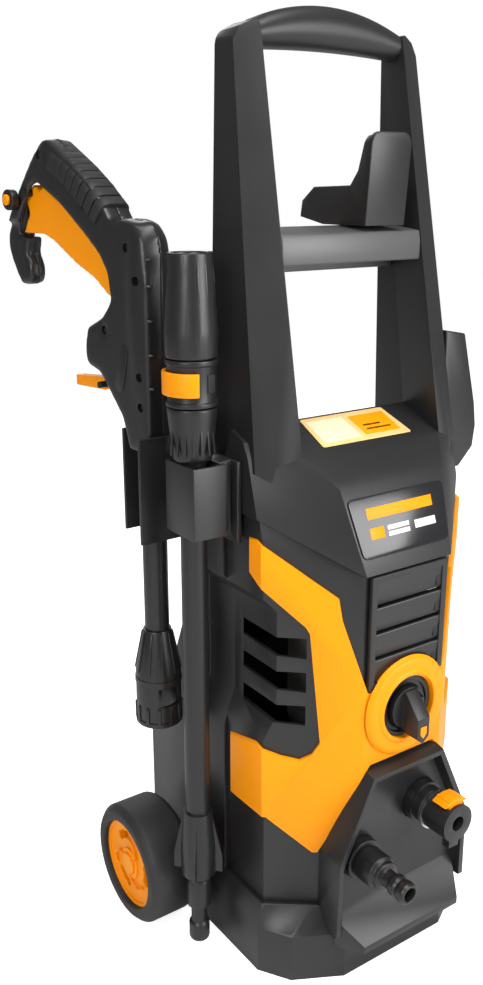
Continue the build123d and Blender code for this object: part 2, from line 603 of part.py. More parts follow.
catch_pivot = (48.0, 449.5)
catch_outline = [(42, 452), (44, 446), (52, 444), (90, 443), (90, 451), (52, 454)]
catch = slab(catch_outline, gun_plane, -4, 4) - gun_pin(pin_r + 0.05, -10, 10, *catch_pivot)
save("safety_catch", catch)
gun_left -= gun_pin(pin_r, -gun_half + 0.9, 5, *catch_pivot)
gun_right -= gun_pin(pin_r, -5, gun_half - 0.9, *catch_pivot)
save("gun_pins", gun_pin(pin_r, 1 - gun_half, gun_half - 1, *trigger_pivot)
     + gun_pin(pin_r, 1 - gun_half, gun_half - 1, *catch_pivot))

lock = gun_pin(8, -gun_half - 7, -gun_half - 0.4, lock_u, lock_v)
lock -= gun_pin(5, -gun_half - 8, -gun_half - 4.5, lock_u, lock_v)
lock += gun_pin(3, -gun_half - 1, -gun_half + 5, lock_u, lock_v)
save("gun_lock_knob", lock)

tube_r = 9.6
save("gun_tube", turned([(3, 228), (tube_r, 228), (tube_r, barrel_low), (5.9, barrel_low), (5.9, 500),
                         (3, 500)], gun_x, gun_y))
collar_low, collar_r = 182.0, 18.0
collar = turned([(tube_r + 0.05, 262), (tube_r + 1.4, 262), (collar_r, 228), (collar_r, collar_low),
                 (14.4, collar_low), (14.4, 222), (tube_r + 0.05, 228.5)], gun_x, gun_y)
collar -= box(gun_x - 9, gun_x + 9, gun_y - 40, gun_y + 40, 200, 216)
save("gun_collar", collar)

# ---- lance ------------------------------------------------------------------------------------------
lance_r = 9.6
body_low = cup_high + gap
save("lance_tube", turned([(3, 128), (lance_r, 128), (lance_r, body_low), (3, body_low)], lance_x, lance_y))
save("lance_body", turned([(4, body_low), (12.6, body_low), (14, body_low + 2), (17.5, 446), (17.5, 449),
                           (13.5, 449), (13.5, 468), (4, 468)], lance_x, lance_y))
fitting = turned([(3, 66), (9, 66), (14, 72), (14, 96), (11.5, 128), (3, 128)], lance_x, lance_y)
for k in range(4):
    fitting += Pos(lance_x, lance_y, 0) * Rot(0, 0, 45 + 90 * k) * extrude(
        make_face(Polyline((9, 0, 74), (19.5, 0, 74), (19.5, 0, 88), (11, 0, 126), close=True)),
        1.6, both=True, dir=(0, 1, 0))
save("lance_fitting", fitting)
save("lance_connector", turned([(3, 9), (7.5, 9), (8.2, 11), (8.2, 24), (6.4, 26), (6.4, 40), (10, 42),
                                (10, 62), (9, 66), (3, 66)], lance_x, lance_y))
save("nozzle_collar", turned([(13.8, 450), (18.2, 450), (18.2, 453), (17, 453.5), (17, 478), (18.2, 478.5),
                              (18.2, 482), (13.8, 482)], lance_x, lance_y))
lever = turned([(17.3, 458), (20.5, 458), (20.5, 474), (17.3, 474)], lance_x, lance_y)
lever_end = (lance_x + 5, lance_y - 3.4)
lever = cut_off(lever, [(*lever_end, 450), (lever_end[0] + 5.7, lever_end[1] + 8.2, 450), (*lever_end, 480)],
                (lance_x - 50, lance_y, 460))
save("nozzle_lever", lever)
nozzle = turned([(4, 483), (18, 483), (18.5, 500), (15.5, 540), (15.2, 552), (12.5, 552), (12.5, 520),
                 (4, 512)], lance_x, lance_y)
nozzle += turned([(4, 469), (13.4, 469), (13.4, 483), (4, 483)], lance_x, lance_y)
save("nozzle_head", nozzle)

# ---- fasteners --------------------------------------------------------------------------------------
screw_places = [(115, 616), (58, 580), (8, 552), (-4, 530), (38, 492), (-4, 462), (-4, 440)]
screw_r, screw_depth, screw_long = 2.4, 2.2, 2.0
screws = gun_pin(screw_r, screw_depth - gun_half, screw_depth + screw_long - gun_half, *screw_places[0])
gun_left -= pad_room + gun_pin(3.05, -gun_half - 1, -gun_half + 5.2, lock_u, lock_v)
for place in screw_places[1:]:
    screws += gun_pin(screw_r, screw_depth - gun_half, screw_depth + screw_long - gun_half, *place)
for place in screw_places:
    gun_left -= gun_pin(screw_r, -gun_half - 1, screw_depth + screw_long - gun_half, *place)
save("gun_screws", screws)
save("gun_shell_left", gun_left)
save("gun_shell_right", gun_right - pad_room)
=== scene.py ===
import bpy
import bmesh
import json
from math import atan2, cos, pi, radians, sin
from mathutils import Matrix, Vector


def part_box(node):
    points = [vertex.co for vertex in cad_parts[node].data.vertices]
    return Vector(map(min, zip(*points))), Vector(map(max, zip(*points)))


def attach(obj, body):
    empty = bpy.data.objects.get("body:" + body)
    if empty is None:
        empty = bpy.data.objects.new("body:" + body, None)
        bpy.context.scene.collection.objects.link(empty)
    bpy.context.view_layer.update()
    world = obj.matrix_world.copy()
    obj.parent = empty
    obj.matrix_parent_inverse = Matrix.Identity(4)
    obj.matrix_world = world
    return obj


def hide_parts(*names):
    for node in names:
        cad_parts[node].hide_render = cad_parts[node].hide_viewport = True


# Upright pressure washer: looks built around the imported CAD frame. Metres, +Z up, front faces -Y.

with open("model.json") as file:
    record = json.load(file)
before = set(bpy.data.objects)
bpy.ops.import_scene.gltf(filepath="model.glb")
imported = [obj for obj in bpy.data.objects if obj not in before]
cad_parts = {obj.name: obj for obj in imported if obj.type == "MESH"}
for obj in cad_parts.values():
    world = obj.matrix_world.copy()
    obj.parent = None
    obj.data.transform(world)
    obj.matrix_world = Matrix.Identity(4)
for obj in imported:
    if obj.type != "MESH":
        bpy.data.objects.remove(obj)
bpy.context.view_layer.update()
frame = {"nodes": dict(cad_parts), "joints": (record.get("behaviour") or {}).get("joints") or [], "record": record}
mm = 0.001

# camera, floor and light
view = {"place": (-0.4872, -0.5640, 0.5942), "down": 17.04, "turn": -35.06, "lens": 36.68, "sensor": 36}
studio = {"sky": (1.0, 1.0, 1.0), "skyForLight": 0.24, "floor": (0.80, 0.80, 0.80), "floorGlow": 0.80,
          "floorSize": 60.0}
lamps = {
    "key": {"place": (0.7, -1.7, 0.8), "aim": (0, 0, 0.35), "size": 1.0, "power": 30},
    "top": {"place": (-0.1, -0.5, 1.9), "aim": (0, 0, 0.3), "size": 1.0, "power": 24},
    "left": {"place": (-1.6, -0.9, 1.0), "aim": (-0.1, 0, 0.4), "size": 0.8, "power": 17},
    "back": {"place": (0.3, 1.8, 1.3), "aim": (0, 0, 0.35), "size": 1.2, "power": 12},
}


def makeCamera():
    bpy.ops.object.camera_add(location=view["place"],
                              rotation=(radians(90 - view["down"]), 0, radians(view["turn"])))
    camera = bpy.context.object
    camera.name = "camera"
    camera.data.sensor_width = view["sensor"]
    camera.data.lens = view["lens"]
    camera.data.clip_start, camera.data.clip_end = 0.01, 50
    bpy.context.scene.camera = camera


def makeStudio():
    bpy.context.scene.view_settings.view_transform = "Standard"
    world = bpy.data.worlds.new("studio")
    bpy.context.scene.world = world
    world.use_nodes = True
    tree = world.node_tree
    tree.nodes.clear()
    seen = tree.nodes.new("ShaderNodeBackground")
    seen.inputs["Color"].default_value = (*studio["sky"], 1)
    lighting = tree.nodes.new("ShaderNodeBackground")
    lighting.inputs["Color"].default_value = (*studio["sky"], 1)
    lighting.inputs["Strength"].default_value = studio["skyForLight"]
    ray = tree.nodes.new("ShaderNodeLightPath")
    mix = tree.nodes.new("ShaderNodeMixShader")
    out = tree.nodes.new("ShaderNodeOutputWorld")
    tree.links.new(ray.outputs["Is Camera Ray"], mix.inputs["Fac"])
    tree.links.new(lighting.outputs[0], mix.inputs[1])
    tree.links.new(seen.outputs[0], mix.inputs[2])
    tree.links.new(mix.outputs[0], out.inputs[0])
    bpy.ops.mesh.primitive_plane_add(size=studio["floorSize"], location=(0, 0, -0.0002))
    floor = bpy.context.object
    floor.name = "floor"
    finish = bpy.data.materials.new("floorPaper")
    finish.use_nodes = True
    shader = finish.node_tree.nodes["Principled BSDF"]
    shader.inputs["Base Color"].default_value = (*studio["floor"], 1)
    shader.inputs["Roughness"].default_value = 0.8
    shader.inputs["Emission Color"].default_value = (1, 1, 1, 1)
    glow = finish.node_tree.nodes.new("ShaderNodeMath")  # white to the camera, but no lamp under the machine
    glow.operation = "MULTIPLY"
    glow.inputs[1].default_value = studio["floorGlow"]
    seenBy = finish.node_tree.nodes.new("ShaderNodeLightPath")
    finish.node_tree.links.new(seenBy.outputs["Is Camera Ray"], glow.inputs[0])
    finish.node_tree.links.new(glow.outputs[0], shader.inputs["Emission Strength"])
    floor.data.materials.append(finish)
    for name, lamp in lamps.items():
        bpy.ops.object.light_add(type="AREA", location=lamp["place"])
        light = bpy.context.object
        light.name = name + "Light"
        light.data.shape = "SQUARE"
        light.data.size = lamp["size"]
        light.data.energy = lamp["power"]
        aim = Vector(lamp["aim"]) - Vector(lamp["place"])
        light.rotation_euler = aim.to_track_quat("-Z", "Y").to_euler()


makeCamera()
makeStudio()
print("studio ready")

# finishes: grain is the size of the moulded texture in metres, depth how strongly it shows
finishes = {
    "charcoal": {"colour": (0.013, 0.013, 0.0135), "vary": 0.18, "rough": 0.37, "grain": 0.0009,
                 "depth": 0.10},
    # lighter copy of the charcoal: painted highlight for the lit crossbar front and the lit top edges of the
    # louvre slats
    "charcoalPaintedHighlight": {"colour": (0.075, 0.075, 0.077), "vary": 0.12, "rough": 0.38, "grain": 0.0009,
                      "depth": 0.10},
    "gripPlastic": {"colour": (0.011, 0.011, 0.0115), "vary": 0.18, "rough": 0.35, "grain": 0.0008,
                    "depth": 0.12},
    "yellow": {"colour": (0.93, 0.300, 0.0), "vary": 0.05, "rough": 0.42, "grain": 0.0010, "depth": 0.05,
               "gloss": 0.22},
    "blackPlastic": {"colour": (0.009, 0.009, 0.0095), "vary": 0.15, "rough": 0.36, "grain": 0.0012,
                     "depth": 0.06},
    "softGrip": {"colour": (0.012, 0.012, 0.0125), "vary": 0.20, "rough": 0.62, "grain": 0.0006,
                 "depth": 0.30},
    "tyre": {"colour": (0.014, 0.014, 0.0145), "vary": 0.20, "rough": 0.60, "grain": 0.0016, "depth": 0.25},
    # near-black: the colour of the gun screws and pins, and painted shade in the louvre slots and the nozzle gaps
    "nearBlackAndPaintedShade": {"colour": (0.008, 0.008, 0.008), "vary": 0.20, "rough": 0.70, "grain": 0.0020, "depth": 0.10},
    "steel": {"colour": (0.60, 0.60, 0.61), "vary": 0.10, "rough": 0.25, "grain": 0.0020, "depth": 0.03,
              "metal": 1.0},
    "aluminium": {"colour": (0.62, 0.62, 0.64), "vary": 0.12, "rough": 0.45, "grain": 0.0018, "depth": 0.15,
                  "metal": 1.0},
    "iron": {"colour": (0.22, 0.21, 0.20), "vary": 0.25, "rough": 0.55, "grain": 0.0015, "depth": 0.25,
             "metal": 1.0},
    "label": {"colour": (0.012, 0.012, 0.014), "vary": 0.10, "rough": 0.20, "grain": 0.0030, "depth": 0.01},
    "labelWhite": {"colour": (0.85, 0.85, 0.85), "vary": 0.04, "rough": 0.30, "grain": 0.0030, "depth": 0.01},
    "sticker": {"colour": (0.88, 0.55, 0.22), "vary": 0.04, "rough": 0.28, "grain": 0.0040, "depth": 0.02},
    "paper": {"colour": (0.93, 0.72, 0.46), "vary": 0.04, "rough": 0.35, "grain": 0.0040, "depth": 0.02},
}


mottle = {"cloudScale": 22, "grainShare": 0.35, "cloudShare": 0.65, "roughSpread": 0.06, "bumpHeight": 0.5}


def makeFinish(name, look):
    material = bpy.data.materials.new(name)
    material.use_nodes = True
    tree = material.node_tree
    shader = tree.nodes["Principled BSDF"]
    shader.inputs["Metallic"].default_value = look.get("metal", 0.0)
    shader.inputs["Specular IOR Level"].default_value = look.get("gloss", 0.5)
    place = tree.nodes.new("ShaderNodeTexCoord")
    grain = tree.nodes.new("ShaderNodeTexNoise")  # moulded texture
    grain.inputs["Scale"].default_value = 1 / look["grain"]
    grain.inputs["Detail"].default_value = 3
    cloud = tree.nodes.new("ShaderNodeTexNoise")  # slow drift of colour and gloss over a part
    cloud.inputs["Scale"].default_value = mottle["cloudScale"]
    cloud.inputs["Detail"].default_value = 4
    tree.links.new(place.outputs["Object"], grain.inputs["Vector"])
    tree.links.new(place.outputs["Object"], cloud.inputs["Vector"])
    tint = tree.nodes.new("ShaderNodeMix")
    tint.data_type = "RGBA"
    low = [c * (1 - look["vary"]) for c in look["colour"]]
    high = [min(1.0, c * (1 + look["vary"])) for c in look["colour"]]
    tint.inputs["A"].default_value = (*low, 1)
    tint.inputs["B"].default_value = (*high, 1)
    blend = tree.nodes.new("ShaderNodeMath")
    blend.operation = "MULTIPLY_ADD"
    blend.inputs[1].default_value = mottle["grainShare"]
    tree.links.new(grain.outputs["Fac"], blend.inputs[0])
    half = tree.nodes.new("ShaderNodeMath")
    half.operation = "MULTIPLY"
    half.inputs[1].default_value = mottle["cloudShare"]
    tree.links.new(cloud.outputs["Fac"], half.inputs[0])
    tree.links.new(half.outputs[0], blend.inputs[2])
    tree.links.new(blend.outputs[0], tint.inputs["Factor"])
    tree.links.new(tint.outputs["Result"], shader.inputs["Base Color"])
    gloss = tree.nodes.new("ShaderNodeMapRange")
    gloss.inputs["To Min"].default_value = look["rough"] - mottle["roughSpread"]
    gloss.inputs["To Max"].default_value = look["rough"] + mottle["roughSpread"]
    tree.links.new(blend.outputs[0], gloss.inputs["Value"])
    tree.links.new(gloss.outputs["Result"], shader.inputs["Roughness"])
    bump = tree.nodes.new("ShaderNodeBump")
    bump.inputs["Strength"].default_value = look["depth"]
    bump.inputs["Distance"].default_value = look["grain"] * mottle["bumpHeight"]
    tree.links.new(grain.outputs["Fac"], bump.inputs["Height"])
    tree.links.new(bump.outputs["Normal"], shader.inputs["Normal"])
    return material


finish = {name: makeFinish(name, look) for name, look in finishes.items()}
print("finishes", len(finish))

# what each CAD node is made of
nodeFinish = {
    "charcoal": ["hood", "front_cover", "rear_housing", "base_tray", "connection_panel", "handle_post_left",
                 "handle_post_right", "cord_hook", "tool_holder", "side_hook",
                 "louvre_grille", "handle_grip"],
    "nearBlackAndPaintedShade": ["gun_screws", "gun_pins"],
    # the crossbar's lighter charcoal is painted highlight for its lit front
    "charcoalPaintedHighlight": ["handle_crossbar"],
    "gripPlastic": ["gun_shell_left", "gun_shell_right", "nozzle_head", "lance_body", "nozzle_collar"],
    "yellow": ["front_shield", "hub_left", "hub_right", "hub_cap_left", "hub_cap_right", "knob_pointer",
               "release_button", "gun_trigger", "safety_catch", "nozzle_lever"],
    "blackPlastic": ["dial_plate", "selector_knob", "inlet_plug",
                     "inlet_socket", "outlet_coupling", "gun_lock_knob", "gun_tube", "gun_collar",
                     "lance_tube", "lance_fitting", "lance_connector", "cord_gland", "main_switch",
                     "cooling_fan"],
    "softGrip": ["grip_pads"],
    "tyre": ["tyre_left", "tyre_right"],
    "steel": ["axle", "outlet_clip", "inlet_filter", "wobble_plate",
              "pump_piston_1", "pump_piston_2", "pump_piston_3"],
    "aluminium": ["pump_body", "motor_flange"],
    "iron": ["motor_stator", "motor_rotor"],
    "label": ["label_plate"],
    "sticker": ["deck_sticker"],
}
bodyOf = {}
for body, nodes in frame["record"]["behaviour"]["bodies"].items():
    for node in nodes:
        bodyOf[node] = body
finishOf = {}
for name, nodes in nodeFinish.items():
    for node in nodes:
        finishOf[node] = name
for node, shown in frame["nodes"].items():
    shown.data.materials.clear()
    shown.data.materials.append(finish[finishOf[node]])


def deselectAll():
    if bpy.context.object is not None and bpy.context.object.mode != "OBJECT":
        bpy.ops.object.mode_set(mode="OBJECT")
    bpy.ops.object.select_all(action="DESELECT")


def pick(piece):
    deselectAll()
    piece.select_set(True)
    bpy.context.view_layer.objects.active = piece


def copyOf(node, name):  # a CAD node's shape as a new piece, welded into real faces
    piece = bpy.data.objects.new(name, frame["nodes"][node].data.copy())
    bpy.context.scene.collection.objects.link(piece)
    pick(piece)
    bpy.ops.object.mode_set(mode="EDIT")
    bpy.ops.mesh.select_all(action="SELECT")
    bpy.ops.mesh.remove_doubles(threshold=0.00002)
    bpy.ops.mesh.dissolve_limited(angle_limit=radians(1.5))
    bpy.ops.object.mode_set(mode="OBJECT")
    bpy.ops.object.shade_flat()
    return piece


def soften(piece, width, segments=3, angle=25):
    pick(piece)
    bevel = piece.modifiers.new("edges", "BEVEL")
    bevel.width = width
    bevel.segments = segments
    bevel.limit_method = "ANGLE"
    bevel.angle_limit = radians(angle)
    bevel.use_clamp_overlap = True
    bevel.miter_outer = "MITER_ARC"
    bpy.ops.object.modifier_apply(modifier="edges")
    bpy.ops.object.shade_smooth_by_angle(angle=radians(35))


def dress(piece, body, look, *stoodFor):
    piece.data.materials.clear()
    piece.data.materials.append(finish[look])
    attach(piece, body)
    if stoodFor:
        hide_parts(*stoodFor)
    return piece


def softCopy(node, name, width, segments=3, angle=25):
    piece = copyOf(node, name)
    soften(piece, width, segments, angle)
    return dress(piece, bodyOf[node], finishOf[node], node)


def faceAngle(edge):
    return edge.link_faces[0].normal.angle(edge.link_faces[1].normal, 0)


def bevelWhere(piece, chosen, width, segments=3):  # bevels the edges that chosen(edge) picks
    pick(piece)
    bpy.ops.object.mode_set(mode="EDIT")
    bpy.ops.mesh.select_mode(type="EDGE")
    bpy.ops.mesh.select_all(action="DESELECT")
    mesh = bmesh.from_edit_mesh(piece.data)
    for edge in mesh.edges:
        edge.select = len(edge.link_faces) == 2 and chosen(edge)
    bmesh.update_edit_mesh(piece.data)
    bpy.ops.mesh.bevel(offset=width, segments=segments, clamp_overlap=True)
    bpy.ops.object.mode_set(mode="OBJECT")


def melt(piece, voxel, rounds, freedom):  # rounds a shape; freedom(point) is 0 where it keeps its form
    pick(piece)
    remesh = piece.modifiers.new("voxels", "REMESH")
    remesh.mode = "VOXEL"
    remesh.voxel_size = voxel
    bpy.ops.object.modifier_apply(modifier="voxels")
    group = piece.vertex_groups.new(name="free")
    for v in piece.data.vertices:
        group.add([v.index], min(1.0, max(0.0, freedom(v.co))), "REPLACE")
    smooth = piece.modifiers.new("smooth", "SMOOTH")
    smooth.factor = 0.5
    smooth.iterations = rounds
    smooth.vertex_group = "free"
    bpy.ops.object.modifier_apply(modifier="smooth")
    piece.vertex_groups.clear()
    bpy.ops.object.shade_smooth_by_angle(angle=radians(48))


def roundCorner(piece, centre, radius, across, up, angles):  # shaves an outside corner to an arc, in degrees
    pick(piece)
    bpy.ops.object.mode_set(mode="EDIT")
    for angle in angles:
        outwards = across * cos(radians(angle)) + up * sin(radians(angle))
        bpy.ops.mesh.select_all(action="SELECT")
        bpy.ops.mesh.bisect(plane_co=centre + outwards * radius, plane_no=outwards,
                            clear_outer=True, use_fill=True)
    bpy.ops.object.mode_set(mode="OBJECT")


def settle(piece):  # puts a piece's place and turn into its mesh
    pick(piece)
    bpy.ops.object.transform_apply(location=True, rotation=True, scale=True)


def lathe(name, rings, place, turn=(0, 0, 0), sides=56, closed=True):
    # rings are (radius, height) in millimetres along the axis; closed joins the last ring to the first
    deselectAll()
    radius, height = rings[0]
    bpy.ops.mesh.primitive_circle_add(vertices=sides, radius=radius * mm, location=(0, 0, height * mm))
    piece = bpy.context.object
    piece.name = name
    settle(piece)
    bpy.ops.object.mode_set(mode="EDIT")
    bpy.ops.mesh.select_all(action="SELECT")
    for nextRadius, nextHeight in rings[1:] + (rings[:1] if closed else []):
        rise = (0, 0, (nextHeight - height) * mm)
        bpy.ops.mesh.extrude_edges_move(TRANSFORM_OT_translate={"value": rise})
        grow = nextRadius / radius
        bpy.ops.transform.resize(value=(grow, grow, 1), center_override=(0, 0, 0))
        radius, height = nextRadius, nextHeight
    bpy.ops.mesh.select_all(action="SELECT")
    bpy.ops.mesh.remove_doubles(threshold=0.00001)
    if not closed:
        bpy.ops.mesh.fill_holes(sides=0)
    bpy.ops.mesh.normals_make_consistent(inside=False)
    bpy.ops.object.mode_set(mode="OBJECT")
    piece.rotation_euler = turn
    piece.location = place
    settle(piece)
    return piece


def block(name, size, place, turn=(0, 0, 0), edge=0.0006, segments=2):  # a bevelled bar, sizes in metres
    deselectAll()
    bpy.ops.mesh.primitive_cube_add(size=1)
    piece = bpy.context.object
    piece.name = name
    piece.scale = size
    settle(piece)
    if edge:
        soften(piece, edge, segments)
    piece.rotation_euler = turn
    piece.location = place
    settle(piece)
    return piece


def joined(name, parts):  # several shapes as one piece
    deselectAll()
    for part in parts:
        part.select_set(True)
    bpy.context.view_layer.objects.active = parts[0]
    bpy.ops.object.join()
    parts[0].name = name
    return parts[0]


def turnedCopies(piece, count, centre, axis, step):  # copies of a shape turned about an axis
    copies = [piece]
    for k in range(1, count):
        copy = bpy.data.objects.new(piece.name, piece.data.copy())
        bpy.context.scene.collection.objects.link(copy)
        turn = Matrix.Rotation(step * k, 4, axis)
        copy.data.transform(Matrix.Translation(centre) @ turn @ Matrix.Translation(-Vector(centre)))
        copies.append(copy)
    return copies


def middle(node):
    low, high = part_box(node)
    return (low + high) / 2


# moulded parts as softened copies, with the edge radius in millimetres
casingEdges = {
    "hood": 1.6, "front_cover": 0.7, "rear_housing": 1.8, "base_tray": 1.6, "connection_panel": 1.2,
    "front_shield": 1.3, "handle_crossbar": 1.4, "tool_holder": 0.8, "side_hook": 1.4,
    "louvre_grille": 0.35, "safety_catch": 1.2, "selector_knob": 0.9, "knob_pointer": 0.3,
    "release_button": 0.8, "nozzle_lever": 0.6, "outlet_coupling": 0.7, "inlet_plug": 0.5,
    "inlet_socket": 0.5, "dial_plate": 0.6, "hub_left": 0.9, "hub_right": 0.9, "hub_cap_left": 0.9,
    "hub_cap_right": 0.9, "tyre_left": 1.6, "tyre_right": 1.6, "gun_lock_knob": 0.8, "gun_tube": 0.6,
    "gun_collar": 0.8, "lance_fitting": 0.5, "lance_connector": 0.5, "lance_body": 0.8,
    "nozzle_collar": 0.4, "nozzle_head": 0.8, "cord_gland": 0.6,
}
for node, width in casingEdges.items():
    softCopy(node, node + "_piece", width * mm)
print("softened", len(casingEdges))


# handle: posts with rounded heads, round grip
handle = {"postEdge": 2.4, "headEdge": 6.0, "headFrom": 0.670, "crownArc": 0.170, "under": 0.683,
          "underArc": 0.930, "gripHalf": 0.066, "gripSteps": 32, "hookCorner": 0.009, "hookEdge": 1.2,
          "hookAngles": (15, 30, 45, 60, 75)}
for side in ("left", "right"):
    post = copyOf("handle_post_" + side, "handle_post_" + side + "_piece")
    bevelWhere(post, lambda e: faceAngle(e) > 0.5 and min(v.co.z for v in e.verts) > handle["headFrom"]
               and abs(e.verts[0].co.y - e.verts[1].co.y) > 0.01, handle["headEdge"] * mm, 5)
    soften(post, handle["postEdge"] * mm, 4)
    dress(post, "machine", "charcoal", "handle_post_" + side)
gripLow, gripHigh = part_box("handle_grip")
gripDepth = (gripHigh.y - gripLow.y) / 2
gripRoom = (gripLow.y + gripHigh.y) / 2


def gripRing(x):  # middle height and half height of the bar at x
    crown = gripHigh.z - handle["crownArc"] + (handle["crownArc"] ** 2 - x * x) ** 0.5
    under = handle["under"] - handle["underArc"] + (handle["underArc"] ** 2 - x * x) ** 0.5
    return (crown + under) / 2, (crown - under) / 2


x = -handle["gripHalf"]
height, half = gripRing(x)
deselectAll()
bpy.ops.mesh.primitive_circle_add(vertices=48, radius=gripDepth, rotation=(0, radians(90), 0))
grip = bpy.context.object
grip.name = "handle_grip_piece"
grip.location = (x, gripRoom, height)
grip.scale = (half / gripDepth, 1, 1)
settle(grip)
bpy.ops.object.mode_set(mode="EDIT")
bpy.ops.mesh.select_all(action="SELECT")
step = 2 * handle["gripHalf"] / handle["gripSteps"]
for k in range(handle["gripSteps"]):
    x += step
    nextHeight, nextHalf = gripRing(x)
    bpy.ops.mesh.extrude_edges_move(TRANSFORM_OT_translate={"value": (step, 0, nextHeight - height)})
    bpy.ops.transform.resize(value=(1, 1, nextHalf / half), center_override=(x, gripRoom, nextHeight))
    height, half = nextHeight, nextHalf
bpy.ops.mesh.select_all(action="SELECT")
bpy.ops.mesh.fill_holes(sides=0)
bpy.ops.mesh.normals_make_consistent(inside=False)
bpy.ops.object.mode_set(mode="OBJECT")
bpy.ops.object.shade_smooth_by_angle(angle=radians(40))
dress(grip, "machine", "charcoal", "handle_grip")
hook = copyOf("cord_hook", "cord_hook_piece")
hookLow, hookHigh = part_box("cord_hook")
corner = handle["hookCorner"]
for x, way in ((hookLow.x + corner, -1), (hookHigh.x - corner, 1)):
    roundCorner(hook, Vector((x, 0, hookHigh.z - corner)), corner, Vector((way, 0, 0)), Vector((0, 0, 1)),
                handle["hookAngles"])
soften(hook, handle["hookEdge"] * mm, 3, 35)
dress(hook, "machine", "charcoal", "cord_hook")
print("handle ready")

# spray gun
gunAxis = middle("gun_tube")
triggerJoint = next(j for j in frame["joints"] if j["name"] == "trigger_pull")
gunSide = -Vector(triggerJoint["axis"])  # across the gun, towards the body
gunBack = Vector((-gunSide.y, gunSide.x, 0))  # from the barrel towards the grip
gunTurn = atan2(gunSide.y, gunSide.x)


def gunPoint(back, height, across=0.0):  # a place on the gun, in millimetres
    place = gunAxis + gunBack * (back * mm) + gunSide * (across * mm)
    return Vector((place.x, place.y, height * mm))


def gunAcross(point):  # how far a point stands from the gun's middle plane
    return (point - gunAxis).dot(gunSide)


gun = {"half": 13.0, "voxel": 0.0009, "rounds": 150, "seam": 0.8, "seamFade": 3.0, "triggerRounds": 14,
       "screwHole": 3.3, "screwDeep": 3.4, "butt": (107, 617), "buttRound": 10.5,
       "buttAngles": (50, 62, 74, 86, 98),
       "screws": ((115, 616), (58, 580), (8, 552), (-4, 530), (38, 492), (-4, 462), (-4, 440))}
# the barrel is rounder and a little thicker than the flat sides of the grip
barrel = {"rings": [(8, 412), (12.0, 424), (13.6, 445), (14.8, 475), (15.4, 505), (15.6, 530), (15.0, 548),
                    (13.0, 560), (9.5, 567), (5, 570.0), (1, 570.5)],
          "ribs": (455, 479, 503, 527, 545), "ribSize": (9, 4, 1.8), "ribPlace": (-12.4, -8.2),
          "ribTurn": 0.75}
for side, way in (("left", -1), ("right", 1)):
    shell = copyOf("gun_shell_" + side, "gun_shell_" + side + "_piece")
    swelling = lathe("swelling", barrel["rings"], (0, 0, 0), sides=64, closed=False)
    swelling.rotation_euler = (0, 0, gunTurn)
    swelling.location = gunPoint(0, 0)
    settle(swelling)
    bpy.ops.object.mode_set(mode="EDIT")
    bpy.ops.mesh.select_all(action="SELECT")
    bpy.ops.mesh.bisect(plane_co=gunAxis, plane_no=gunSide * way, clear_inner=True, use_fill=True)
    bpy.ops.object.mode_set(mode="OBJECT")
    shell = joined(shell.name, [shell, swelling])
    roundCorner(shell, gunPoint(*gun["butt"]), gun["buttRound"] * mm, gunBack, Vector((0, 0, 1)),
                gun["buttAngles"])
    melt(shell, gun["voxel"], gun["rounds"],
         lambda p: (abs(gunAcross(p)) / mm - gun["seam"]) / gun["seamFade"])
    if side == "left":
        cores = [lathe("core", [(gun["screwHole"], 3), (gun["screwHole"], -gun["screwDeep"])],
                       gunPoint(*place, -gun["half"]), (0, radians(-90), gunTurn), 24, closed=False)
                 for place in gun["screws"]]
        cores = joined("screw_holes", cores)
        cut = shell.modifiers.new("holes", "BOOLEAN")
        cut.object = cores
        pick(shell)
        bpy.ops.object.modifier_apply(modifier="holes")
        bpy.data.objects.remove(cores)
    dress(shell, "gun", "gripPlastic", "gun_shell_" + side)
trigger = copyOf("gun_trigger", "gun_trigger_piece")
melt(trigger, gun["voxel"], gun["triggerRounds"], lambda p: 1)
dress(trigger, "trigger", "yellow", "gun_trigger")
print("gun shells ready")

ribForward, ribAcross = barrel["ribPlace"]
ribs = [block("rib", [s * mm for s in barrel["ribSize"]], gunPoint(ribForward, height, ribAcross),
              (0, 0, gunTurn + barrel["ribTurn"]), 0.5 * mm)
        for height in barrel["ribs"]]
dress(joined("gun_barrel_ribs", ribs), "gun", "gripPlastic")

# ribbed rubber back: one saddle per rib, following the back of the grip
saddle = {"from": (38, 574), "to": (100, 613.5), "bow": 3.0, "count": 8, "deep": 18.0, "gap": 0.7,
          "round": 8.0, "edge": 0.7, "proud": 1.2}
saddles = []
startU, startV = saddle["from"]
endU, endV = saddle["to"]
for k in range(saddle["count"]):
    t = (k + 0.5) / saddle["count"]
    u = startU + (endU - startU) * t
    v = startV + (endV - startV) * t + saddle["bow"] * sin(pi * t)
    slope = (endV - startV + saddle["bow"] * pi * cos(pi * t)) / (endU - startU)
    long = ((endU - startU) ** 2 + (endV - startV) ** 2) ** 0.5 / saddle["count"] - saddle["gap"]
    size = ((2 * gun["half"] + saddle["proud"]) * mm, long * mm, saddle["deep"] * mm)
    part = block("saddle", size, (0, 0, 0), edge=0)
    bevelWhere(part, lambda e: e.calc_length() > (long - 1) * mm
               and abs((e.verts[0].co - e.verts[1].co).normalized().y) > 0.9 and e.verts[0].co.z > 0,
               saddle["round"] * mm, 6)
    soften(part, saddle["edge"] * mm, 2, 40)
    part.rotation_euler = (Vector((0, 1, slope)).to_track_quat("Y", "Z")).to_euler()
    settle(part)
    part.rotation_euler = (0, 0, gunTurn)
    part.location = gunPoint(u, v)
    settle(part)
    saddles.append(part)
dress(joined("grip_pads_piece", saddles), "gun", "softGrip", "grip_pads")

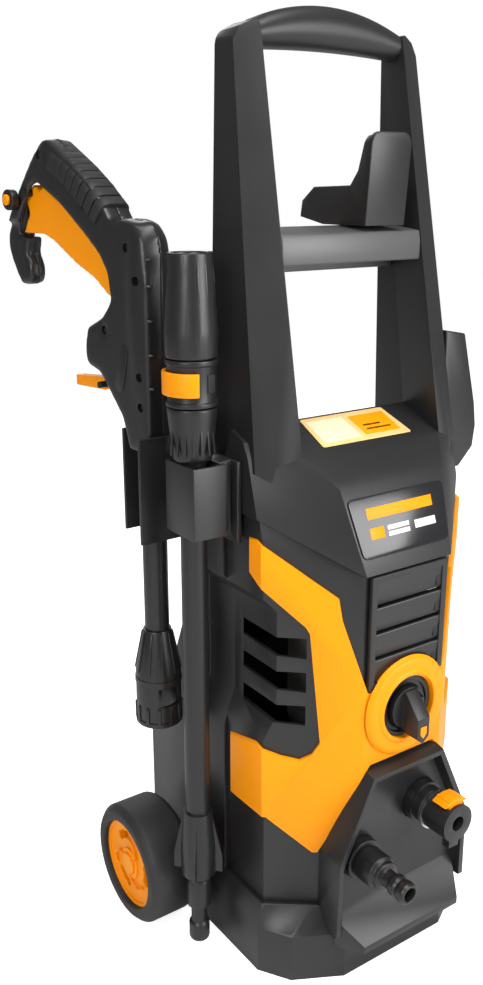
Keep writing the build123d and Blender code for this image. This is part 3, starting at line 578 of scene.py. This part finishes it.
# small parts on the near side of the gun
medallion = {"place": (17, 466), "size": (1.6, 10.5, 36), "lean": 14, "round": 5.2, "edge": 0.4}
lockDisc = {"place": (151, 583), "proud": 7.0, "rings": [(1, 0), (4.2, 0), (4.2, 1.6), (3.4, 2.2), (1, 2.4)]}
oval = block("gun_medallion", [s * mm for s in medallion["size"]], (0, 0, 0), edge=0)
bevelWhere(oval, lambda e: abs(e.verts[0].co.x - e.verts[1].co.x) > 0.0008,
           medallion["round"] * mm, 8)
soften(oval, medallion["edge"] * mm, 2)
oval.rotation_euler = (radians(medallion["lean"]), 0, 0)
settle(oval)
oval.rotation_euler = (0, 0, gunTurn)
oval.location = gunPoint(*medallion["place"], -gun["half"] + 0.1)
settle(oval)
dress(oval, "gun", "gripPlastic")
lockCore = lathe("gun_lock_core", lockDisc["rings"],
                 gunPoint(*lockDisc["place"], -gun["half"] - lockDisc["proud"]),
                 (0, radians(-90), gunTurn), 32, closed=False)
dress(lockCore, "gun_lock", "yellow")
print("gun details ready")

# dial boss: domed ring round the well, and the raised scale ring inside it
boss = {"rings": [(25.2, -8), (25.2, 1.4), (25.9, 2.1), (27.4, 2.2), (28.8, 1.6), (29.6, 0.9), (34.0, 0.7),
                  (36.6, 0.3), (38.6, -0.9), (40.0, -2.6), (36, -2.7)],
        "scaleRing": [(20.8, 0), (20.8, 1.6), (21.6, 2.0), (23.6, 2.0), (24.4, 1.4), (24.4, 0)]}
dial = middle("dial_plate")
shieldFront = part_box("front_shield")[0].y
bossRing = lathe("dial_boss", boss["rings"], (dial.x, shieldFront, dial.z + 1 * mm),
                 (radians(90), 0, 0), 80)
pick(bossRing)
bpy.ops.object.shade_smooth_by_angle(angle=radians(35))
dress(bossRing, "machine", "yellow")
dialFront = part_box("dial_plate")[0].y
scaleRing = lathe("dial_scale_ring", boss["scaleRing"], (dial.x, dialFront, dial.z), (radians(90), 0, 0), 80)
pick(scaleRing)
bpy.ops.object.shade_smooth_by_angle(angle=radians(35))
dress(scaleRing, "machine", "blackPlastic")

# wheels: three raised swirls on each hub
swirl = {"count": 3, "radius": 11.0, "offset": 13.0, "sweep": 150, "wide": 5.0, "high": 2.4, "edge": 0.9}
for side, outward in (("left", -1), ("right", 1)):
    low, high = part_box("hub_" + side)
    axle = (low + high) / 2
    faceX = low.x if outward < 0 else high.x
    deselectAll()
    bpy.ops.mesh.primitive_plane_add(size=1)
    petal = bpy.context.object
    petal.name = "hub_swirls_" + side
    petal.scale = (swirl["wide"] * mm, swirl["high"] * mm, 1)
    petal.rotation_euler = (radians(90), 0, 0)
    petal.location = (swirl["radius"] * mm, 0, 0)
    settle(petal)
    bpy.ops.object.mode_set(mode="EDIT")
    bpy.ops.mesh.select_all(action="SELECT")
    bpy.ops.mesh.spin(steps=18, angle=radians(swirl["sweep"]), center=(0, 0, 0), axis=(0, 0, 1))
    bpy.ops.mesh.select_all(action="SELECT")
    bpy.ops.mesh.normals_make_consistent(inside=False)
    bpy.ops.object.mode_set(mode="OBJECT")
    for v in petal.data.vertices:  # the bar runs out to a point at its end
        share = (atan2(v.co.y, v.co.x) % (2 * pi)) / radians(swirl["sweep"])
        reach = v.co.to_2d().length
        slim = swirl["radius"] * mm + (reach - swirl["radius"] * mm) * (1 - 0.8 * min(1, share))
        v.co.x, v.co.y = v.co.x / reach * slim, v.co.y / reach * slim
    petal.location = (swirl["offset"] * mm, 0, 0)
    settle(petal)
    soften(petal, swirl["edge"] * mm, 3, 40)
    ring = turnedCopies(petal, swirl["count"], (0, 0, 0), "Z", radians(360 / swirl["count"]))
    petals = joined(petal.name, ring)
    petals.rotation_euler = (0, radians(90) * outward, 0)
    petals.location = (faceX, axle.y, axle.z)
    settle(petals)
    dress(petals, "wheel_" + side, "yellow")
print("boss and wheels ready")

# label on the hood and sticker on the deck
def onPlate(node):  # outward direction of a thin plate's outer face
    mesh = frame["nodes"][node].data
    outer = max(mesh.polygons, key=lambda p: p.area * (p.normal.z - p.normal.y))
    return outer.normal.copy()


def plateCopy(node, name, cornerRound, look):
    piece = copyOf(node, name)
    facing = onPlate(node)
    bevelWhere(piece, lambda e: abs((e.verts[0].co - e.verts[1].co).normalized().dot(facing)) > 0.9,
               cornerRound * mm, 5)
    soften(piece, 0.25 * mm, 2)
    dress(piece, "machine", look, node)
    return facing


def mark(name, node, facing, u0, u1, v0, v1, look, lift=0.15, edge=0.1):
    # a thin plate over a node's face: u across and v up the face, as shares of its size
    low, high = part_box(node)
    up = Vector((0, facing.z, -facing.y)).normalized()
    wide = high.x - low.x
    tall = ((high.z - low.z) ** 2 + (high.y - low.y) ** 2) ** 0.5
    centre = (low + high) / 2
    centre += Vector((1, 0, 0)) * ((u0 + u1) / 2 - 0.5) * wide + up * ((v0 + v1) / 2 - 0.5) * tall
    size = ((u1 - u0) * wide, (v1 - v0) * tall, 0.5 * mm)
    plate = block(name, size, (0, 0, 0), edge=edge * mm)
    plate.rotation_euler = facing.to_track_quat("Z", "Y").to_euler()
    plate.location = centre + facing * lift * mm
    settle(plate)
    dress(plate, "machine", look)


labelFacing = plateCopy("label_plate", "label_plate_piece", 5.0, "label")
for k, (u0, u1, v0, v1, look) in enumerate([
        (0.16, 0.84, 0.62, 0.80, "yellow"), (0.16, 0.30, 0.30, 0.48, "yellow"),
        (0.34, 0.56, 0.40, 0.47, "labelWhite"), (0.34, 0.56, 0.30, 0.37, "labelWhite"),
        (0.62, 0.84, 0.32, 0.45, "labelWhite")]):
    mark(f"label_bar_{k + 1}", "label_plate", labelFacing, u0, u1, v0, v1, look, 0.5)
stickerFacing = plateCopy("deck_sticker", "deck_sticker_piece", 2.0, "sticker")
for k, (u0, u1, v0, v1, look) in enumerate([
        (0.06, 0.46, 0.12, 0.88, "paper"), (0.52, 0.92, 0.16, 0.84, "yellow"),
        (0.58, 0.86, 0.30, 0.36, "label"), (0.58, 0.78, 0.44, 0.50, "label")]):
    mark(f"sticker_field_{k + 1}", "deck_sticker", stickerFacing, u0, u1, v0, v1, look, 0.3)
print("label and sticker ready")

# louvre: a near-black block at the right end of each slat, painted shade of the slot there, and a lighter ledge
# along its upper edge, painted highlight of the lit slat edge
louvre = {"first": 253.0, "pitch": 20.4, "count": 4, "slot": (5.0, 3.0, 7.5), "fromSide": 7.4, "sunk": 2.6,
          "ledge": (62, 1.2, 0.7), "edge": 265.4, "ledgeSunk": 0.75}
grilleLow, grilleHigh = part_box("louvre_grille")
slotShades = [block("slot", [n * mm for n in louvre["slot"]],
               (grilleHigh.x - louvre["fromSide"] * mm, grilleLow.y + louvre["sunk"] * mm,
                (louvre["first"] + k * louvre["pitch"]) * mm), edge=0.3 * mm)
         for k in range(louvre["count"])]
dress(joined("louvre_slot_shades", slotShades), "machine", "nearBlackAndPaintedShade")
# painted highlight: thin lighter bars where the slats' top edges catch the light
highlightLedges = [block("ledge", [n * mm for n in louvre["ledge"]],
                (-1.0 * mm, grilleLow.y + louvre["ledgeSunk"] * mm,
                 (louvre["edge"] + k * louvre["pitch"]) * mm), edge=0.2 * mm)
          for k in range(louvre["count"] - 1)]
dress(joined("louvre_highlight_ledges", highlightLedges), "machine", "charcoalPaintedHighlight")

# lance, nozzle and collar: raised ribs, sizes in millimetres, set round their tube from the -X or +X side
lance = middle("lance_tube")
tube = middle("gun_tube")
ribRows = {
    "lance_body_ribs": {"size": (1.8, 1.8, 30), "out": -15.6, "height": 431, "lean": 6, "count": 7,
                        "step": 20, "round": lance, "body": "lance"},
    "nozzle_ribs": {"size": (1.6, 2.2, 26), "out": 15.4, "height": 534, "lean": -4, "count": 5,
                    "step": -26, "round": lance, "body": "nozzle"},
    "flare_ribs": {"size": (2.0, 2.0, 33), "out": -14.6, "height": 244, "lean": 11.5, "count": 10,
                   "step": 36, "round": tube},
    "collar_bars": {"size": (1.6, 3, 14), "out": -18.2, "height": 192, "lean": 0, "count": 12,
                    "step": 30, "round": tube},
}


def ribSet(name):
    row = ribRows[name]
    rib = block(name, [n * mm for n in row["size"]],
                (row["round"].x + row["out"] * mm, row["round"].y, row["height"] * mm),
                (0, radians(row["lean"]), 0), 0.5 * mm)
    return turnedCopies(rib, row["count"], (row["round"].x, row["round"].y, 0), "Z", radians(row["step"]))


for name in ("lance_body_ribs", "nozzle_ribs"):
    dress(joined(name, ribSet(name)), ribRows[name]["body"], "gripPlastic")

# near-black blocks as painted shade in the nozzle's gaps: one in the head, one beside the yellow lever
toRight = Vector((cos(radians(view["turn"])), sin(radians(view["turn"])), 0))
notch = {"size": (3.4, 4.5, 19), "place": 13.4, "height": 0.5430}
dress(block("nozzle_notch_shade", [n * mm for n in notch["size"]],
            Vector((lance.x, lance.y, notch["height"])) + toRight * notch["place"] * mm,
            (0, 0, radians(view["turn"])), 0.4 * mm), "nozzle", "nearBlackAndPaintedShade")
collarLow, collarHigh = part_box("nozzle_collar")
collarRadius = (collarHigh.x - collarLow.x) / 2
window = {"turn": -72, "size": (2.4, 7.0, 12.5), "sunk": 1.6}  # painted shade of the gap beside the yellow lever
outwards = Vector((cos(radians(window["turn"])), sin(radians(window["turn"])), 0))
leverHeight = middle("nozzle_lever").z
dress(block("lever_gap_shade", [n * mm for n in window["size"]],
            Vector((lance.x, lance.y, leverHeight)) + outwards * (collarRadius - window["sunk"] * mm),
            (0, 0, radians(window["turn"])), 0.4 * mm), bodyOf["nozzle_lever"], "nearBlackAndPaintedShade")

# gun collar: ribs on its flare, two rings and a row of bars
collarRings = {"collar_ring": [(17.6, 218), (18.6, 218), (18.6, 222), (17.6, 222)],
               "collar_foot": [(17.6, 183), (18.7, 183), (18.7, 186), (17.6, 186)]}
rings = [lathe(name, profile, (tube.x, tube.y, 0)) for name, profile in collarRings.items()]
dress(joined("gun_collar_ribs", ribSet("flare_ribs") + rings + ribSet("collar_bars")), "gun", "blackPlastic")
print("ribs ready")
